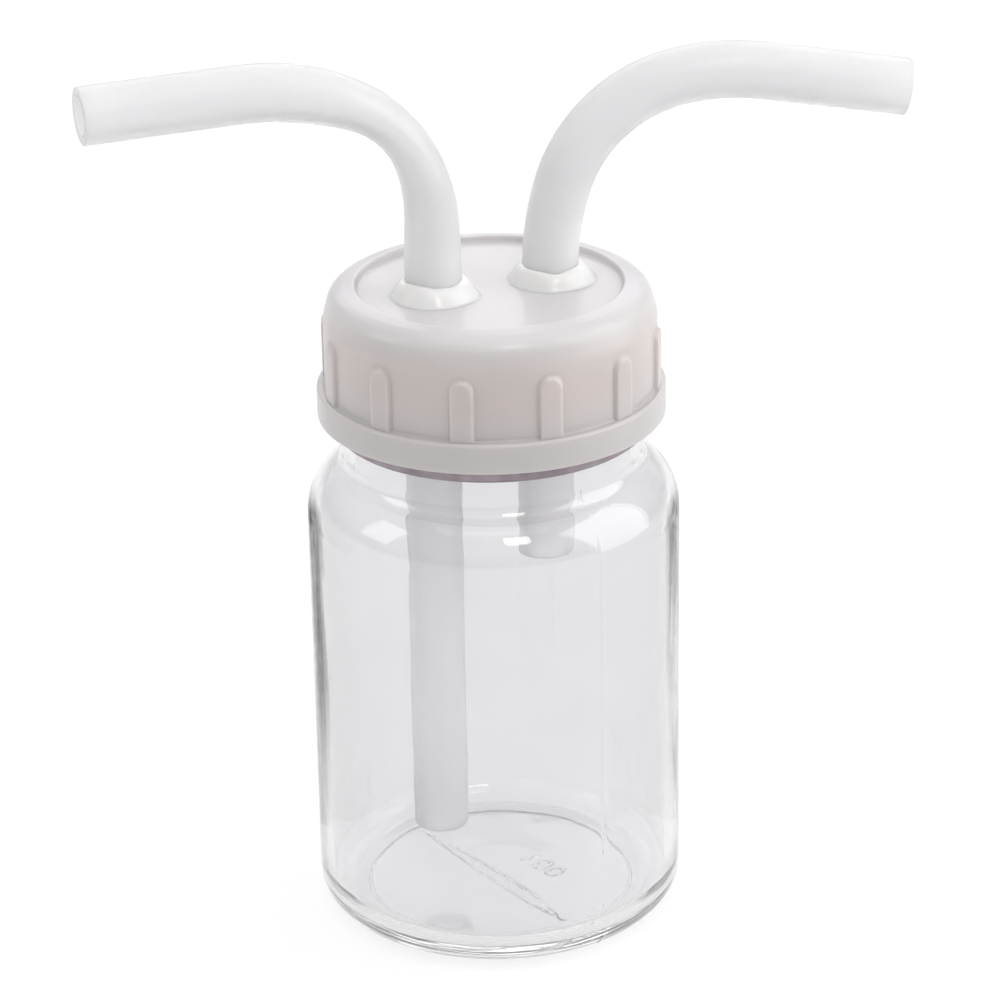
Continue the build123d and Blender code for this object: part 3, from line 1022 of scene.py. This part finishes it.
soft_light("top", 0.0, 88.0, 1.1, (1.0, 1.0), 2.0)
soft_light("right", 85.0, 25.0, 0.9, (0.8, 0.95), 4.4)
soft_light("left", -80.0, 30.0, 0.9, (0.34, 0.5), 0.8)
soft_light("front", 18.0, 50.0, 0.9, (0.2, 0.2), 0.95)
soft_light("back", 180.0, 35.0, 1.1, (1.2, 0.6), 2.5)
for k, turn in enumerate(turned(INNER_COUNT)):
    inner_light("inner_%d" % k, turn)

# ---------------------------------------------------------------- cards beside the bottle
CARD_CENTRE, CARD_R = 24.5, 18.0
CARD_LOW, CARD_TOP = 0.5, 57.0
CARD_NEAR_DEG, CARD_FAR_DEG = -28.0, 58.0
CARD_COLUMNS = 24
CARD_SPAN = CARD_FAR_DEG - CARD_NEAR_DEG
OUTSIDE_SHARE = 0.88  # of the streak, in reflections off the outer face
# strength across the card for light that has crossed two walls, as (angle, strength)
WIDE_BAND = (
    (-28, 0.0),
    (-12, 0.03),
    (-2, 0.07),
    (4, 0.11),
    (14, 0.18),
    (24, 0.27),
    (33, 0.3),
    (58, 0.3),
)


def card_material(name, band_stops, heights):
    """Grey that only light turned by the clear wall can see: a sharp, ragged streak for light
    that has crossed one wall, and WIDE_BAND for light that has crossed two."""
    mat, tree, out = blank_material(name)

    def maths(operation, first, second):
        made = node(tree, "ShaderNodeMath", operation=operation)
        feed(tree, first, made.inputs[0])
        feed(tree, second, made.inputs[1])
        return made.outputs[0]

    def across(source, stops):
        return grey_ramp(tree, source, [((d - CARD_NEAR_DEG) / CARD_SPAN, w) for d, w in stops])

    crossed = node(tree, "ShaderNodeLightPath").outputs["Transmission Depth"]
    outside = maths("LESS_THAN", crossed, 0.5)
    one_wall = maths("LESS_THAN", crossed, 2.5)
    two_walls = maths("SUBTRACT", maths("LESS_THAN", crossed, 4.5), one_wall)
    weaker = maths("MULTIPLY", outside, 1.0 - OUTSIDE_SHARE)
    sharp_share = maths("SUBTRACT", one_wall, weaker)
    uv = split_xyz(tree, node(tree, "ShaderNodeTexCoord").outputs["UV"])
    high = grey_ramp(tree, uv["Y"], heights)
    shift = grey_ramp(tree, uv["Y"], ((0.5, 0.045), (0.8, 0.0)))
    jag = noise_value(tree, 0.55, 3.0, stretch=(0.3, 0.3, 1.0))
    ragged = maths("ADD", uv["X"], spread(tree, jag, -0.07, 0.07))
    sharp = maths("MULTIPLY", across(maths("SUBTRACT", ragged, shift), band_stops), high)
    wide = maths("MULTIPLY", across(uv["X"], WIDE_BAND), two_walls)
    factor = maths("ADD", maths("MULTIPLY", sharp, sharp_share), wide)
    streaks = noise_value(tree, 0.7, 3.0, stretch=(1.0, 1.0, 0.12))
    dark = ramp(
        tree, streaks, ((0.42, grey(0.0)), (0.6, (0.02, 0.02, 0.022)), (0.75, (0.3, 0.3, 0.31)))
    )
    clear = node(tree, "ShaderNodeBsdfTransparent")
    shade = node(tree, "ShaderNodeEmission", Strength=1.0)
    tree.links.new(dark, shade.inputs["Color"])
    mix = node(tree, "ShaderNodeMixShader")
    tree.links.new(factor, mix.inputs[0])
    tree.links.new(clear.outputs[0], mix.inputs[1])
    tree.links.new(shade.outputs[0], mix.inputs[2])
    tree.links.new(mix.outputs[0], out.inputs[0])
    mat.cycles.emission_sampling = "NONE"
    return mat


def edge_card(name, side, band_stops, heights):
    """Curved card beside the bottle that gives the wall its dark streak and the soft grey next to
    it, as the dark room does in the photo.

    Angles are in degrees from straight behind the wall. band_stops are (angle, strength) across
    the streak, and heights are (share of the height, strength) from the card's foot to its top."""
    corners, uvs, faces = [], [], []
    c, s = cos(CAMERA_TURN), sin(CAMERA_TURN)
    for k in range(CARD_COLUMNS + 1):
        d = radians(CARD_NEAR_DEG + CARD_SPAN * k / CARD_COLUMNS)
        x, y = side * (CARD_CENTRE + CARD_R * sin(d)), CARD_R * cos(d)
        for v, z in ((0.0, CARD_LOW), (1.0, CARD_TOP)):
            corners.append((c * x - s * y, s * x + c * y, z))
            uvs.append((k / CARD_COLUMNS, v))
    for k in range(CARD_COLUMNS):
        faces.append((2 * k, 2 * k + 2, 2 * k + 3, 2 * k + 1))
    obj = new_object(name, corners, faces, uvs=uvs)
    obj.data.materials.append(card_material(name, band_stops, heights))
    obj.visible_camera = False
    obj.visible_diffuse = False
    obj.visible_shadow = False


edge_card(
    "edge_card_left",
    -1.0,
    ((12, 0.0), (17, 0.3), (25, 0.7), (31, 0.95), (38, 1.0), (43, 0.85), (48, 0.6), (58, 0.4)),
    ((0.0, 0.2), (0.15, 0.45), (0.45, 0.9), (0.93, 1.0), (1.0, 0.3)),
)
edge_card(
    "edge_card_right",
    1.0,
    ((12, 0.0), (20, 0.3), (31, 0.4), (36, 1.0), (43, 1.0), (47, 0.5), (52, 0.35), (58, 0.3)),
    ((0.0, 0.15), (0.3, 0.3), (0.62, 0.75), (0.8, 1.0), (0.93, 1.0), (1.0, 0.3)),
)

scene = bpy.context.scene
scene.view_settings.view_transform = "Standard"
scene.cycles.max_bounces = 32
scene.cycles.transmission_bounces = 32
scene.cycles.glossy_bounces = 12
scene.cycles.diffuse_bounces = 8
